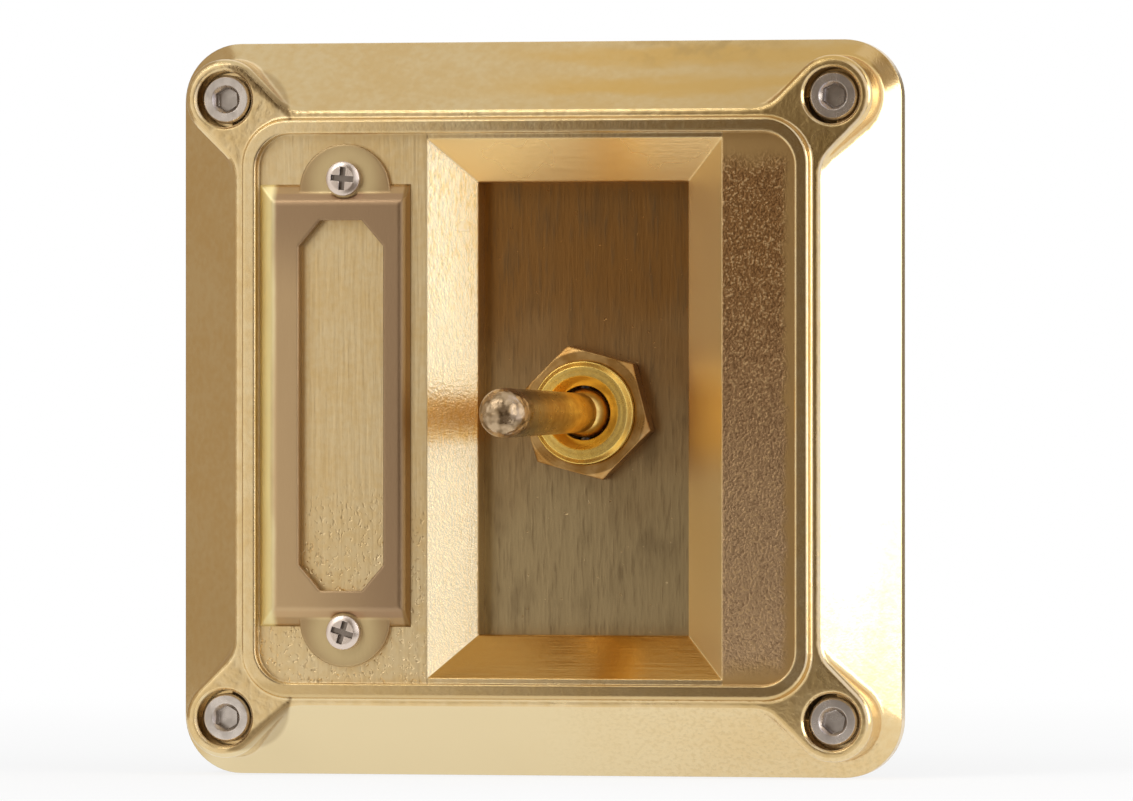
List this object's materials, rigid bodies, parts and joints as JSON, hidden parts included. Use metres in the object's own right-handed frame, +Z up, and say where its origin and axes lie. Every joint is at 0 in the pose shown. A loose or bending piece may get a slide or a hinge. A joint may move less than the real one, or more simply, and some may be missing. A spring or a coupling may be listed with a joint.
{
  "type": "brass dolly switch",
  "caption": "Square cast brass wall switch with sloped sides, corner cap screws, a label frame and a lever that is thrown from side to side in a bevelled recess.",
  "frame": {"origin": "middle of the cover's back face, on the wall plane", "axes": "+Z up as in the picture, +X to the right, front towards -Y, wall towards +Y"},
  "size_m": [0.086, 0.0545, 0.086],
  "materials": {
    "cast_brass": "cast, tumbled and polished, unlacquered",
    "plate_brass": "brushed lengthways, darkened",
    "pressed_brass": "pressed sheet, satin",
    "turned_brass": "turned, bright",
    "nut_brass": "machined, slightly toned",
    "stainless": "stainless, satin",
    "steel": "zinc plated",
    "moulding": "moulded black thermoset",
    "terminal_brass": "stamped strip",
    "contact_silver": "silver rivets"
  },
  "bodies": {
    "housing": {"cover": "cast_brass", "switch_plate": "plate_brass", "label_frame": "pressed_brass", "bush": "turned_brass", "front_nut": "nut_brass", "cover_screws": "stainless", "label_screws": "stainless", "lock_washer": "steel", "yoke": "steel", "pivot_pin": "steel", "plate_screws": "steel", "terminal_screws": "steel", "switch_case": "moulding", "common_terminal": "terminal_brass", "left_terminal": "terminal_brass", "right_terminal": "terminal_brass", "earth_screw": "terminal_brass", "earth_washer": "terminal_brass", "fixed_contacts": "contact_silver"},
    "lever": {"dolly": "turned_brass", "plunger": "moulding", "plunger_spring": "steel"},
    "rocker_arm": {"rocker": "terminal_brass", "rocker_contacts": "contact_silver"}
  },
  "joints": [
    {"name": "dolly_throw", "type": "hinge", "parent": "housing", "child": "lever", "pos_m": [0.00585, -0.004, -0.0005], "axis": [0, 0, 1], "range_deg": [0, 28]},
    {"name": "rocker_tilt", "type": "hinge", "parent": "housing", "child": "rocker_arm", "pos_m": [0.00585, 0.01344, -0.0005], "axis": [0, 0, 1], "range_deg": [-20, 0]}
  ],
  "couplings": [
    {"joint": "rocker_tilt", "follows": "dolly_throw", "ratio": -0.71429}
  ]
}
